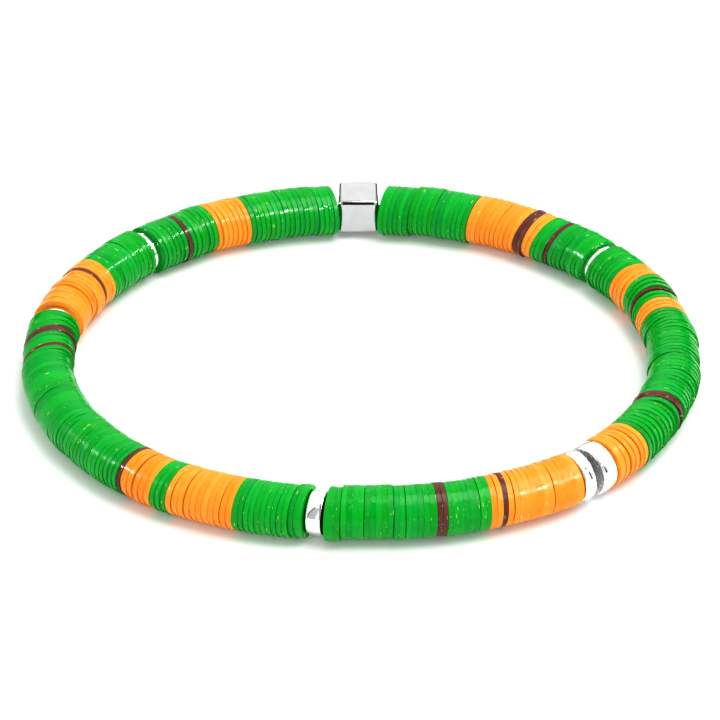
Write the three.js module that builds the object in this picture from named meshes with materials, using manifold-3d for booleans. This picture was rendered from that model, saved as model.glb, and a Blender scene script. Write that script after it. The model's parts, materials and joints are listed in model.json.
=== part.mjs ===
// Stretch bracelet of thin flat discs, metal spacers, two barrel beads and a cube bead on one elastic cord.
// Millimetres, +Z up. The loop lies flat with its long way along X and the cube bead at the back (+Y).
import * as THREE from "three";
import { mergeVertices } from "three/addons/utils/BufferGeometryUtils.js";
import Module from "manifold-3d";

// Elastic cord and the knot that joins its ends
const cordDiameter = 0.8;
const cordSides = 8;
const cordSteps = 78;
const cordRiseLength = 4.0;
const knotDiameter = 2.0;
const knotLength = 2.7;
const knotWraps = 3;
const knotWaist = 0.18;
const wrapPoints = 4;
const knotSides = 10;

// Discs: punched sheet, threaded face to face
const discDiameter = 6.0;
const discThickness = 0.545;
const discBorePlay = 1.0;
const discBore = cordDiameter + discBorePlay;
const discPlay = 0.02;
const discScatter = 0.07;
const discWander = 0.09;
const discWanderCount = 7;
const rimSides = 10;
const boreSides = 8;
const boreStep = 6.0;

// Plain silver rings between the coloured blocks
const spacerDiameter = 5.0;
const spacerBorePlay = 1.1;
const spacerBore = cordDiameter + spacerBorePlay;
const wideSpacerLength = 1.75;
const narrowSpacerLength = 1.05;
const spacerEdge = 0.15;
const spacerEdgeSteps = 1;

// Pair of short barrel beads
const barrelDiameter = 5.9;
const barrelBorePlay = 1.2;
const barrelBore = cordDiameter + barrelBorePlay;
const wideBarrelLength = 2.1;
const narrowBarrelLength = 1.5;
const barrelEdge = 0.3;
const barrelEdgeSteps = 2;

// Cube bead, which hides the knot. Its wide bore lets it sit a little up and out of the strand's line,
// and it lies a little to the left of the middle of the loop's back.
const cubeLength = 4.8;
const cubeSide = 4.6;
const cubeEdge = 0.55;
const cubeEdgeSides = 12;
const cubeLift = 0.12;
const cubeOut = 0.3;
const cubeShift = 0.35;
const knotPlay = 0.7;
const cubeBore = knotDiameter + knotPlay;

// Turned metal
const latheSides = 16;
const metalPlay = 0.03;

// Corners closer than this are one corner
const weldDistance = 1e-4;

// Shape of the lying loop: its radius over the mean radius is 1 + these shares of cosines and a sine
const loopOval = 0.1068;
const loopSquare = 0.0033;
const loopSkew = -0.0046;

// The strand, clockwise from the cube bead as seen from above, with slants in degrees. A lean turns a bead
// about the vertical, its outer side further along the strand. A tilt puts its top further back along the
// strand. Two values are for the first and the last disc.
const strand = [
  { bead: "cube", lean: 0, tilt: 0 },
  { bead: "green", discs: 18, lean: [15, 11.5], tilt: [-1, -4] },
  { bead: "orange", discs: 10, lean: [11.5, 14.5], tilt: [-4, -9] },
  { bead: "brown", discs: 2, lean: 14, tilt: -10 },
  { bead: "orange", discs: 2, lean: [13, 12.5], tilt: [-11, -12] },
  { bead: "green", discs: 3, lean: [11.5, 10], tilt: [-12, -12] },
  { bead: "brown", discs: 1, lean: 9.5, tilt: -12 },
  { bead: "green", discs: 8, lean: [9.5, 9], tilt: [-12, -9] },
  { bead: "narrowSpacer", lean: 9, tilt: -8 },
  { bead: "green", discs: 7, lean: [12, 9.5], tilt: [-8, -2] },
  { bead: "orange", discs: 4, lean: [8, -1], tilt: [-1, 6] },
  { bead: "green", discs: 3, lean: [0, 6], tilt: [8, 11] },
  { bead: "brown", discs: 1, lean: 8, tilt: 12 },
  { bead: "green", discs: 2, lean: [9, 10], tilt: [12, 11] },
  { bead: "orange", discs: 3, lean: [9, 6], tilt: [10, 8] },
  { bead: "green", discs: 13, lean: [4, -6], tilt: [7, 4] },
  { bead: "green", discs: 13, lean: [-6, -15], tilt: [4, 1] },
  { bead: "brown", discs: 2, lean: -17, tilt: 0 },
  { bead: "green", discs: 9, lean: [-17, -13.5], tilt: [1, 5] },
  { bead: "orange", discs: 6, lean: [-13, -10], tilt: [5, 4] },
  { bead: "wideBarrel", lean: -8, tilt: 3 },
  { bead: "narrowBarrel", lean: -2, tilt: 1 },
  { bead: "orange", discs: 13, lean: [2, 4], tilt: [2, 4] },
  { bead: "brown", discs: 1, lean: 4, tilt: 4 },
  { bead: "orange", discs: 2, lean: [4, 3], tilt: [4, 3] },
  { bead: "green", discs: 8, lean: [3, 0], tilt: [2, 3] },
  { bead: "brown", discs: 2, lean: -1, tilt: 3 },
  { bead: "green", discs: 18, lean: [0, 3], tilt: [2, 0] },
  { bead: "wideSpacer", lean: 11, tilt: -2 },
  { bead: "green", discs: 12, lean: [15, 10], tilt: [-3, -1] },
  { bead: "orange", discs: 11, lean: [10, 13], tilt: [0, 0] },
  { bead: "green", discs: 3, lean: [13, 11], tilt: [2, 4] },
  { bead: "orange", discs: 5, lean: [11, 13], tilt: [4, 0] },
  { bead: "brown", discs: 1, lean: 14, tilt: -1 },
  { bead: "green", discs: 13, lean: [13, 5], tilt: [-1, 2] },
  { bead: "green", discs: 13, lean: [5, -4], tilt: [2, 4] },
  { bead: "green", discs: 12, lean: [-4, -14], tilt: [4, 6] },
  { bead: "brown", discs: 1, lean: -15, tilt: 6 },
  { bead: "green", discs: 3, lean: [-16, -19], tilt: [6, 4] },
  { bead: "brown", discs: 2, lean: -20, tilt: 4 },
  { bead: "green", discs: 3, lean: [-18, -14], tilt: [3, 0] },
  { bead: "narrowSpacer", lean: -6, tilt: -2 },
  { bead: "orange", discs: 10, lean: [2, -5], tilt: [-4, -6] },
  { bead: "brown", discs: 1, lean: -5, tilt: -6 },
  { bead: "orange", discs: 3, lean: [-4, -3], tilt: [-4, 0] },
  { bead: "green", discs: 12, lean: [-3, -10], tilt: [2, 0] },
  { bead: "narrowSpacer", lean: -9, tilt: 0 },
  { bead: "green", discs: 6, lean: [-10, -12], tilt: [0, -1] },
  { bead: "brown", discs: 1, lean: -12, tilt: -1 },
  { bead: "green", discs: 6, lean: [-13, -14], tilt: [-1, -2] },
  { bead: "orange", discs: 7, lean: [-14, -14], tilt: [-2, -2] },
  { bead: "green", discs: 18, lean: [-13, -15], tilt: [-2, -1] },
];

// A correction smaller than this share of a turn is settled
const settled = 1e-9;

// Repeatable scatter of the discs
const scatterRule = { seed: 7, factor: 1664525, add: 1013904223, modulus: 2 ** 32 };

const discRadius = discDiameter / 2;
const degree = Math.PI / 180;
const fullTurn = 2 * Math.PI;

// Radius of a regular polygon's corners when its sides touch the real circle
const cornerRadius = (radius, sides) => radius / Math.cos(Math.PI / sides);

// Corners of the cube's flat end, less the cube's shift: they clear the leaning discs as the cube turns
const cubeEndFlat = cubeSide / 2 - cubeEdge;
const cubeEndReach = Math.hypot(cubeEndFlat, cubeEndFlat) - cubeOut;

// Name, length, end-face radius and play of each kind of metal bead
const spacerReach = spacerDiameter / 2 - spacerEdge;
const barrelReach = barrelDiameter / 2 - barrelEdge;
const metalBeads = {
  cube: { name: "cube_bead", length: cubeLength, reach: cubeEndReach, play: metalPlay },
  wideBarrel: { name: "barrel_bead", length: wideBarrelLength, reach: barrelReach, play: metalPlay },
  narrowBarrel: { name: "barrel_bead", length: narrowBarrelLength, reach: barrelReach, play: metalPlay },
  wideSpacer: { name: "spacer_ring", length: wideSpacerLength, reach: spacerReach, play: metalPlay },
  narrowSpacer: { name: "spacer_ring", length: narrowSpacerLength, reach: spacerReach, play: metalPlay },
};

// Length of several discs that lie face to face
const stackLength = (discs) => discs * discThickness + (discs - 1) * discPlay;

// Next scatter value in -1..1
let scatterState = scatterRule.seed;
function scatter() {
  scatterState = (scatterState * scatterRule.factor + scatterRule.add) % scatterRule.modulus;
  return (scatterState / scatterRule.modulus) * 2 - 1;
}

// Slant of one bead of a run, in radians, from one value or from those of the run's two ends
function slantAt(values, share) {
  const [first, last = first] = [values].flat();
  return (first + (last - first) * share) * degree;
}

// Threading order: one entry per loose disc, per solid pair of discs and per metal bead
function listBeads() {
  const beads = [];
  strand.forEach((item, run) => {
    const solidDiscs = item.bead === "brown" ? item.discs : 1;
    const disc = { length: stackLength(solidDiscs), reach: discRadius, play: discPlay };
    const { length, reach, play } = metalBeads[item.bead] ?? disc;
    const count = (item.discs ?? 1) / solidDiscs;
    for (let i = 0; i < count; i++) {
      const share = count > 1 ? i / (count - 1) : 0;
      const [lean, tilt] = [item.lean, item.tilt].map((values) => slantAt(values, share));
      beads.push({ run, length, reach, play, lean, tilt });
    }
  });
  return beads;
}

// Point, heading and pace of the unit loop at a clockwise angle from its back
function loopAt(angle) {
  const a = Math.PI / 2 - angle;
  const oval = loopOval * Math.cos(2 * a);
  const square = loopSquare * Math.cos(4 * a);
  const radius = 1 + oval + square + loopSkew * Math.sin(3 * a);
  const ovalSlope = -2 * loopOval * Math.sin(2 * a);
  const squareSlope = -4 * loopSquare * Math.sin(4 * a);
  const slope = ovalSlope + squareSlope + 3 * loopSkew * Math.cos(3 * a);
  const dx = radius * Math.sin(a) - slope * Math.cos(a);
  const dy = -radius * Math.cos(a) - slope * Math.sin(a);
  const x = radius * Math.cos(a);
  const y = radius * Math.sin(a);
  return { x, y, speed: Math.hypot(dx, dy), heading: Math.atan2(dy, dx) };
}

// Clockwise turn from one heading to the next
function turnBetween(from, to) {
  const turn = from - to;
  return turn - fullTurn * Math.round(turn / fullTurn);
}

// Angle of the next bead: their faces keep the play at the rim where they come closest
function nextAngle(angle, bead, next, meanRadius) {
  const here = loopAt(angle);
  const reach = Math.min(bead.reach, next.reach);
  const play = Math.max(bead.play, next.play);
  const halves = (bead.length + next.length) / 2;
  let step = halves / meanRadius;
  let change = step;
  while (Math.abs(change) > settled) {
    const there = loopAt(angle + step);
    const turn = turnBetween(here.heading, there.heading) + next.lean - bead.lean;
    const wedge = Math.hypot(turn, next.tilt - bead.tilt);
    const slant = Math.cos((bead.lean + next.lean) / 2) * Math.cos((bead.tilt + next.tilt) / 2);
    const apart = (halves + play + reach * wedge) / slant;
    change = apart / (meanRadius * loopAt(angle + step / 2).speed) - step;
    step += change;
  }
  return angle + step;
}

// Angles of all beads for a mean radius, and the angle at which the first bead would come again
function thread(beads, meanRadius) {
  let angle = -cubeShift / meanRadius;
  const angles = beads.map((bead, i) => {
    const here = angle;
    angle = nextAngle(angle, bead, beads[(i + 1) % beads.length], meanRadius);
    return here;
  });
  return { angles, end: angle };
}

// Mean radius at which the threaded strand closes on itself
function fitLoop(beads) {
  let meanRadius = beads.reduce((sum, bead) => sum + bead.length, 0) / fullTurn;
  let excess = 1;
  while (Math.abs(excess) > settled) {
    const { angles, end } = thread(beads, meanRadius);
    excess = (end - angles[0]) / fullTurn - 1;
    meanRadius *= 1 + excess;
  }
  return meanRadius;
}

// Centre, axis, outward side and upper side of each bead, the discs resting on the floor or just over it
function placeBeads() {
  const beads = listBeads();
  const meanRadius = fitLoop(beads);
  const { angles } = thread(beads, meanRadius);
  let wander = [scatter(), scatter()];
  let wanderNext = [scatter(), scatter()];
  beads.forEach((bead, i) => {
    const share = (i % discWanderCount) / discWanderCount;
    if (i > 0 && share === 0) {
      wander = wanderNext;
      wanderNext = [scatter(), scatter()];
    }
    const slow = wander.map((value, axis) => value + (wanderNext[axis] - value) * share);
    const out = slow[0] * discWander + scatter() * discScatter;
    const up = Math.max(0, slow[1] * discWander + scatter() * discScatter);
    const at = loopAt(angles[i]);
    const heading = at.heading - bead.lean;
    const flatAlong = new THREE.Vector3(Math.cos(heading), Math.sin(heading), 0);
    bead.outward = new THREE.Vector3(-Math.sin(heading), Math.cos(heading), 0);
    bead.along = flatAlong.multiplyScalar(Math.cos(bead.tilt)).setZ(Math.sin(bead.tilt));
    bead.upward = new THREE.Vector3().crossVectors(bead.along, bead.outward);
    const metal = strand[bead.run].bead in metalBeads;
    const rest = discRadius * Math.cos(bead.tilt) + (bead.length / 2) * Math.abs(Math.sin(bead.tilt));
    bead.centre = new THREE.Vector3(at.x, at.y, 0).multiplyScalar(meanRadius);
    if (!metal) bead.centre.addScaledVector(bead.outward, out);
    bead.centre.z = metal ? discRadius : rest + up;
    bead.heading = heading;
  });
  beads[0].centre.addScaledVector(beads[0].outward, cubeOut).setZ(discRadius + cubeLift);
  return { beads, meanRadius, start: angles[0] };
}

// Corners of a disc's rim or bore in its own plane, a side of it facing down
function outlineOf(radius, sides) {
  const corner = cornerRadius(radius, sides);
  return Array.from({ length: sides }, (_, k) => {
    const angle = (k / sides) * fullTurn;
    return new THREE.Vector2(corner * Math.cos(angle), corner * Math.sin(angle));
  });
}

const rimOutline = outlineOf(discRadius, rimSides);
const boreOutline = outlineOf(discBore / 2, boreSides);

// Flat face of a disc as triangles, the bore's corners numbered after the rim's
const faceTriangles = THREE.ShapeUtils.triangulateShape([...rimOutline], [[...boreOutline]]);

// An outline set across the strand at a point
function ringAt(point, outward, upward, outline) {
  return outline.map(({ x, y }) => point.clone().addScaledVector(outward, x).addScaledVector(upward, y));
}

// Closed body between rim rings and bore rings that run the same way, a flat face at each end
function loft(rims, bores) {
  const boreStart = rims.length * rimSides;
  const index = [];
  const skin = (rings, sides, start, inward) => {
    for (let r = 0; r < rings - 1; r++)
      for (let k = 0; k < sides; k++) {
        const a = start + r * sides + k;
        const b = start + r * sides + ((k + 1) % sides);
        if (inward) index.push(a, a + sides, b, b, a + sides, b + sides);
        else index.push(a, b, a + sides, b, b + sides, a + sides);
      }
  };
  const face = (rimRing, boreRing, backward) => {
    const corner = (i) => {
      if (i < rimSides) return rimRing * rimSides + i;
      return boreStart + boreRing * boreSides + i - rimSides;
    };
    for (const [a, b, c] of faceTriangles) {
      const corners = backward ? [a, c, b] : [a, b, c];
      index.push(...corners.map(corner));
    }
  };
  skin(rims.length, rimSides, 0, false);
  skin(bores.length, boreSides, boreStart, true);
  face(0, 0, true);
  face(rims.length - 1, bores.length - 1, false);
  const geometry = new THREE.BufferGeometry().setFromPoints([...rims.flat(), ...bores.flat()]);
  geometry.setIndex(index);
  return geometry;
}

// A block of one colour: every disc keeps its own rim, and the bore follows the strand
function stackGeometry(discs) {
  const rims = [];
  const bores = [];
  for (const disc of discs)
    for (const side of [-1, 1]) {
      const face = disc.centre.clone().addScaledVector(disc.along, (side * discThickness) / 2);
      rims.push(ringAt(face, disc.outward, disc.upward, rimOutline));
      bores.push(ringAt(face, disc.outward, disc.upward, boreOutline));
    }
  const steps = Math.max(1, Math.round(stackLength(discs.length) / boreStep));
  const kept = Array.from({ length: steps + 1 }, (_, i) => Math.round((i / steps) * (bores.length - 1)));
  return loft(rims, kept.map((i) => bores[i]));
}

// One disc, or a pair as one solid, about its own X axis
function markerGeometry(discs) {
  const outward = new THREE.Vector3(0, 1, 0);
  const upward = new THREE.Vector3(0, 0, 1);
  const faces = [-1, 1].map((side) => new THREE.Vector3((side * stackLength(discs)) / 2, 0, 0));
  const rims = faces.map((face) => ringAt(face, outward, upward, rimOutline));
  const bores = faces.map((face) => ringAt(face, outward, upward, boreOutline));
  return loft(rims, bores);
}

// Quarter-round from one edge of a lathe profile to the next, as radius and height pairs
function roundEdge(radius, height, edge, steps, from) {
  return Array.from({ length: steps + 1 }, (_, i) => {
    const angle = from + (i / steps) * (Math.PI / 2);
    return new THREE.Vector2(radius + edge * Math.cos(angle), height + edge * Math.sin(angle));
  });
}

// Turned ring with rounded rims about its own X axis, a side of it facing down
function turnedBead(diameter, bore, length, edge, edgeSteps) {
  const radius = cornerRadius(diameter / 2, latheSides) - edge;
  const boreRadius = cornerRadius(bore / 2, latheSides);
  const half = length / 2 - edge;
  const profile = [
    new THREE.Vector2(boreRadius, -length / 2),
    ...roundEdge(radius, -half, edge, edgeSteps, -Math.PI / 2),
    ...roundEdge(radius, half, edge, edgeSteps, 0),
    new THREE.Vector2(boreRadius, length / 2),
    new THREE.Vector2(boreRadius, -length / 2),
  ];
  const geometry = new THREE.LatheGeometry(profile, latheSides, Math.PI / latheSides);
  return geometry.rotateZ(-Math.PI / 2);
}

const wasm = await Module();
wasm.setup();

// A closed geometry as a solid for joining
function solid(geometry) {
  const bare = geometry.index ? geometry.toNonIndexed() : geometry.clone();
  bare.deleteAttribute("normal");
  bare.deleteAttribute("uv");
  const merged = mergeVertices(bare, weldDistance);
  return new wasm.Manifold(
    new wasm.Mesh({
      numProp: 3,
      vertProperties: new Float32Array(merged.attributes.position.array),
      triVerts: new Uint32Array(merged.index.array),
    }),
  );
}

function geometryOf(joined) {
  const mesh = joined.getMesh();
  const geometry = new THREE.BufferGeometry();
  geometry.setAttribute("position", new THREE.BufferAttribute(mesh.vertProperties, mesh.numProp));
  geometry.setIndex(new THREE.BufferAttribute(mesh.triVerts, 1));
  return geometry;
}

// Cube bead with rounded edges and a wide bore along its own X axis: the hull of a ball at each corner
function cubeGeometry() {
  const balls = [];
  for (const x of [-1, 1])
    for (const y of [-1, 1])
      for (const z of [-1, 1]) {
        const corner = [cubeLength, cubeSide, cubeSide].map((size) => size / 2 - cubeEdge);
        const ball = wasm.Manifold.sphere(cubeEdge, cubeEdgeSides);
        balls.push(ball.translate([x * corner[0], y * corner[1], z * corner[2]]));
      }
  const boreRadius = cornerRadius(cubeBore / 2, latheSides);
  const bore = new THREE.CylinderGeometry(boreRadius, boreRadius, 2 * cubeLength, latheSides);
  return geometryOf(wasm.Manifold.hull(balls).subtract(solid(bore.rotateZ(Math.PI / 2))));
}

// The knot is a short barrel of wraps, tied in the cord where the cube bead hides it
function knotGeometry() {
  const profile = [new THREE.Vector2(0, -knotLength / 2)];
  for (let i = 0; i <= knotWraps * wrapPoints; i++) {
    const share = i / (knotWraps * wrapPoints);
    const crown = Math.abs(Math.sin(share * knotWraps * Math.PI));
    const radius = knotDiameter / 2 - knotWaist * (1 - crown);
    profile.push(new THREE.Vector2(radius, (share - 0.5) * (knotLength - cordDiameter)));
  }
  profile.push(new THREE.Vector2(0, knotLength / 2));
  return new THREE.LatheGeometry(profile, knotSides).rotateZ(-Math.PI / 2);
}

// Cord once round the loop: it leaves the knot on one side and comes back on the other, and swings up and
// out to the cube bead's middle
function cordGeometry(meanRadius, start) {
  const ends = (knotLength - 2 * cordDiameter) / 2 / meanRadius;
  const route = Array.from({ length: cordSteps + 1 }, (_, i) => {
    const turn = ends + (i / cordSteps) * (fullTurn - 2 * ends);
    const at = loopAt(start + turn);
    const fromCube = Math.min(turn, fullTurn - turn) * meanRadius;
    const swing = Math.exp(-((fromCube / cordRiseLength) ** 2));
    const point = new THREE.Vector3(at.x * meanRadius, at.y * meanRadius, discRadius + cubeLift * swing);
    const outward = new THREE.Vector3(-Math.sin(at.heading), Math.cos(at.heading), 0);
    return point.addScaledVector(outward, cubeOut * swing);
  });
  const section = new THREE.Shape(outlineOf(cordDiameter / 2, cordSides));
  const path = new THREE.CatmullRomCurve3(route);
  return new THREE.ExtrudeGeometry(section, { steps: cordSteps, extrudePath: path });
}

const finishes = {
  green: { color: 0x08a63a, roughness: 0.42, metalness: 0 },
  orange: { color: 0xff9a33, roughness: 0.42, metalness: 0 },
  brown: { color: 0x5e302e, roughness: 0.45, metalness: 0 },
  silver: { color: 0xdcdde0, roughness: 0.2, metalness: 1 },
  cord: { color: 0xe9e6de, roughness: 0.6, metalness: 0 },
};

function addPiece(parent, name, geometry, finish) {
  const mesh = new THREE.Mesh(geometry, new THREE.MeshStandardMaterial(finishes[finish]));
  mesh.name = name;
  parent.add(mesh);
  return mesh;
}

// Two-figure number of a piece among those of its name
const counts = {};
function numbered(name) {
  counts[name] = (counts[name] ?? 0) + 1;
  return name + "_" + String(counts[name]).padStart(2, "0");
}

function metalGeometry(bead) {
  if (bead === "cube") return cubeGeometry();
  const { name, length } = metalBeads[bead];
  return name === "barrel_bead"
    ? turnedBead(barrelDiameter, barrelBore, length, barrelEdge, barrelEdgeSteps)
    : turnedBead(spacerDiameter, spacerBore, length, spacerEdge, spacerEdgeSteps);
}

// Metal beads and brown discs are turned onto the strand as whole pieces
function seatPiece(mesh, bead) {
  mesh.position.copy(bead.centre);
  mesh.rotation.set(0, -bead.tilt, bead.heading, "ZYX");
}

const { beads, meanRadius, start } = placeBeads();
const bracelet = new THREE.Group();
strand.forEach((item, run) => {
  const own = beads.filter((bead) => bead.run === run);
  if (item.bead in metalBeads) {
    const base = metalBeads[item.bead].name;
    const name = item.bead === "cube" ? base : numbered(base);
    seatPiece(addPiece(bracelet, name, metalGeometry(item.bead), "silver"), own[0]);
  } else if (item.bead === "brown") {
    seatPiece(addPiece(bracelet, numbered("brown_disc"), markerGeometry(item.discs), "brown"), own[0]);
  } else {
    addPiece(bracelet, numbered(item.bead + "_discs"), stackGeometry(own), item.bead);
  }
});

const cube = beads[0];
const knot = knotGeometry().rotateZ(cube.heading).translate(...cube.centre);
const cord = solid(cordGeometry(meanRadius, start)).add(solid(knot));
addPiece(bracelet, "elastic_cord", geometryOf(cord), "cord");

// The origin is under the middle of the loop, on the surface it lies on
const box = new THREE.Box3().setFromObject(bracelet, true);
const middle = box.getCenter(new THREE.Vector3());
bracelet.position.set(-middle.x, -middle.y, -box.min.z);

export default bracelet;
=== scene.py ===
# Stretch bracelet of thin flat discs, metal spacers, two barrel beads and a cube bead on one
# elastic cord. Metres, +Z up. The loop lies flat on the floor with the cube bead at the back (+Y).
import json
import math
import random

import bmesh
import bpy
import numpy as np
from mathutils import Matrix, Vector

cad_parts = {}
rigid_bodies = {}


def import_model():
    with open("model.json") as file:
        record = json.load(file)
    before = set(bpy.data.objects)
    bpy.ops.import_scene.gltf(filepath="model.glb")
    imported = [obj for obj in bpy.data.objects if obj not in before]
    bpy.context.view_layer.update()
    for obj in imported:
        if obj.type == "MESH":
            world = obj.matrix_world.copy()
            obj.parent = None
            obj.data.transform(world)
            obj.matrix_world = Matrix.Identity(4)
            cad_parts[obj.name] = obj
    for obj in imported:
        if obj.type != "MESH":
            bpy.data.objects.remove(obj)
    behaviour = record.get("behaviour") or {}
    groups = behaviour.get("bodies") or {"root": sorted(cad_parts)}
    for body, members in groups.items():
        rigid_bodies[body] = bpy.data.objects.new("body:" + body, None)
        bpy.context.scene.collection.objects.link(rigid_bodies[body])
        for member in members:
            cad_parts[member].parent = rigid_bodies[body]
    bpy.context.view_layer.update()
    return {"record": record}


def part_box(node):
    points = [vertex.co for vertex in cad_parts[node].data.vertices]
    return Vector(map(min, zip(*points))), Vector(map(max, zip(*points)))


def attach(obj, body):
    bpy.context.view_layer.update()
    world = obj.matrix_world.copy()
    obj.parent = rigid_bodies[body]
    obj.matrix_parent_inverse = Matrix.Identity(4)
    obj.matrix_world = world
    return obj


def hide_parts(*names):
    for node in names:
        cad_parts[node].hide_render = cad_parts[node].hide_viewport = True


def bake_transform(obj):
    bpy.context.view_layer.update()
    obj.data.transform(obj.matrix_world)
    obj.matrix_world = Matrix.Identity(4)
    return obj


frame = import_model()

MM = 0.001
TURN = 2 * math.pi

# Sizes of the beads in millimetres, as the frame has them
CORD_DIAMETER = 0.8
CORD_RISE_LENGTH = 4.0
KNOT_DIAMETER = 2.0
KNOT_LENGTH = 2.7
DISC_DIAMETER = 6.0
DISC_THICKNESS = 0.545
DISC_BORE = 1.8
DISC_PLAY = 0.02
DISC_SCATTER = 0.07
DISC_WANDER = 0.09
DISC_WANDER_COUNT = 7
SPACER_DIAMETER = 5.0
SPACER_BORE = 1.9
WIDE_SPACER_LENGTH = 1.75
NARROW_SPACER_LENGTH = 1.05
SPACER_EDGE = 0.15
BARREL_DIAMETER = 5.9
BARREL_BORE = 2.0
WIDE_BARREL_LENGTH = 2.1
NARROW_BARREL_LENGTH = 1.5
BARREL_EDGE = 0.3
CUBE_LENGTH = 4.8
CUBE_SIDE = 4.6
CUBE_EDGE = 0.55
CUBE_LIFT = 0.12
CUBE_OUT = 0.3
CUBE_SHIFT = 0.35
CUBE_BORE = 2.7
METAL_PLAY = 0.03

# The cord: length of the short piece drawn at each opening, and how finely it is drawn
CORD_STRETCH_LENGTH = 1.2
CORD_STRETCH_STEPS = 12
CORD_STEPS_PER_RADIAN = 38
CORD_SIDES = 12

# The knot: its wraps, their thickness as a share of the cord's, how many of their thicknesses its
# two ends keep free, and how finely it is drawn
KNOT_WRAPS = 2.5
KNOT_SQUEEZE = 0.42
KNOT_ENDS = 1.6
KNOT_STEPS = 72
KNOT_SIDES = 10

# Shape of the lying loop: shares of the mean radius
LOOP_OVAL = 0.1068
LOOP_SQUARE = 0.0033
LOOP_SKEW = -0.0046
SETTLED = 1e-9

# Repeatable scatter of the discs, as the frame has it
SCATTER_SEED = 7
SCATTER_FACTOR = 1664525
SCATTER_STEP = 1013904223
SCATTER_RANGE = 4294967296

# Rims of the discs: radius, height of the waves round the rim, how often each wave goes round and
# its share of that height, cone, and the cut edges inside a group and beside an open gap
RIM_RADIUS = 2.962
RIM_SEGMENTS = 60
RIM_WAVE = 0.034
RIM_WAVES = ((3, 0.35), (6, 0.3), (9, 0.2), (13, 0.15))
RIM_CONE = 0.016
RIM_EDGE_TIGHT = (0.006, 0.02)
RIM_EDGE_OPEN = (0.03, 0.055)
RIM_EDGE_SHOULDER = 0.3
RIM_BAND = 0.02
BORE_CHAMFER = 0.03

# Groups of discs: how many gaps in a row are tight, how closely the discs keep to the first one's
# place, and how far the first one slips aside
FIRST_GROUP = (2, 6)
GROUP = (1, 6)
GROUP_AFTER_METAL = (1, 5)
GROUP_SHARE = 0.8
GROUP_SLIP = 0.13

# Share of the gap between two beads that their faces close, and each face's part of that
CLOSING_BY_METAL = 0.65
CLOSING_OPEN = (0.1, 0.55)
CLOSING_TIGHT = (0.9, 1.0)
CLOSING_IN_PAIR = 0.5
CLOSING_LIMIT = 0.7
FACE_HALF = 0.5
FACE_TOWARD_FIRM = 0.85

# Spread of the discs' places in the vinyl's pattern, and the seed of all that the scene adds
PATTERN_SPREAD = 400
EXTRA_SEED = 11

# Finer shapes of the metal beads
TURNED_SEGMENTS = 72
BORE_MOUTH = 0.08
BARREL_ROUND_SHARE = 0.7
BARREL_CROWN = 0.06
BARREL_ROUND_STEPS = 6
SPACER_CROWN = 0.035
SPACER_ROUND_STEPS = 4
CROWN_STEPS = 8
CUBE_ROUND_STEPS = 8
CUBE_BORE_SEGMENTS = 48
CUBE_SHARP_DEGREES = 50

# The strand, clockwise from the cube bead as seen from above: bead, discs, and the lean and tilt in
# degrees of its first and last disc
STRAND = [
    ("cube", 1, (0, 0), (0, 0)),
    ("green", 18, (15, 11.5), (-1, -4)),
    ("orange", 10, (11.5, 14.5), (-4, -9)),
    ("brown", 2, (14, 14), (-10, -10)),
    ("orange", 2, (13, 12.5), (-11, -12)),
    ("green", 3, (11.5, 10), (-12, -12)),
    ("brown", 1, (9.5, 9.5), (-12, -12)),
    ("green", 8, (9.5, 9), (-12, -9)),
    ("narrow_spacer", 1, (9, 9), (-8, -8)),
    ("green", 7, (12, 9.5), (-8, -2)),
    ("orange", 4, (8, -1), (-1, 6)),
    ("green", 3, (0, 6), (8, 11)),
    ("brown", 1, (8, 8), (12, 12)),
    ("green", 2, (9, 10), (12, 11)),
    ("orange", 3, (9, 6), (10, 8)),
    ("green", 13, (4, -6), (7, 4)),
    ("green", 13, (-6, -15), (4, 1)),
    ("brown", 2, (-17, -17), (0, 0)),
    ("green", 9, (-17, -13.5), (1, 5)),
    ("orange", 6, (-13, -10), (5, 4)),
    ("wide_barrel", 1, (-8, -8), (3, 3)),
    ("narrow_barrel", 1, (-2, -2), (1, 1)),
    ("orange", 13, (2, 4), (2, 4)),
    ("brown", 1, (4, 4), (4, 4)),
    ("orange", 2, (4, 3), (4, 3)),
    ("green", 8, (3, 0), (2, 3)),
    ("brown", 2, (-1, -1), (3, 3)),
    ("green", 18, (0, 3), (2, 0)),
    ("wide_spacer", 1, (11, 11), (-2, -2)),
    ("green", 12, (15, 10), (-3, -1)),
    ("orange", 11, (10, 13), (0, 0)),
    ("green", 3, (13, 11), (2, 4)),
    ("orange", 5, (11, 13), (4, 0)),
    ("brown", 1, (14, 14), (-1, -1)),
    ("green", 13, (13, 5), (-1, 2)),
    ("green", 13, (5, -4), (2, 4)),
    ("green", 12, (-4, -14), (4, 6)),
    ("brown", 1, (-15, -15), (6, 6)),
    ("green", 3, (-16, -19), (6, 4)),
    ("brown", 2, (-20, -20), (4, 4)),
    ("green", 3, (-18, -14), (3, 0)),
    ("narrow_spacer", 1, (-6, -6), (-2, -2)),
    ("orange", 10, (2, -5), (-4, -6)),
    ("brown", 1, (-5, -5), (-6, -6)),
    ("orange", 3, (-4, -3), (-4, 0)),
    ("green", 12, (-3, -10), (2, 0)),
    ("narrow_spacer", 1, (-9, -9), (0, 0)),
    ("green", 6, (-10, -12), (0, -1)),
    ("brown", 1, (-12, -12), (-1, -1)),
    ("green", 6, (-13, -14), (-1, -2)),
    ("orange", 7, (-14, -14), (-2, -2)),
    ("green", 18, (-13, -15), (-2, -1)),
]

NODE_NAMES = {
    "green": "green_discs",
    "orange": "orange_discs",
    "brown": "brown_disc",
    "wide_barrel": "barrel_bead",
    "narrow_barrel": "barrel_bead",
    "wide_spacer": "spacer_ring",
    "narrow_spacer": "spacer_ring",
}

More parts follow.
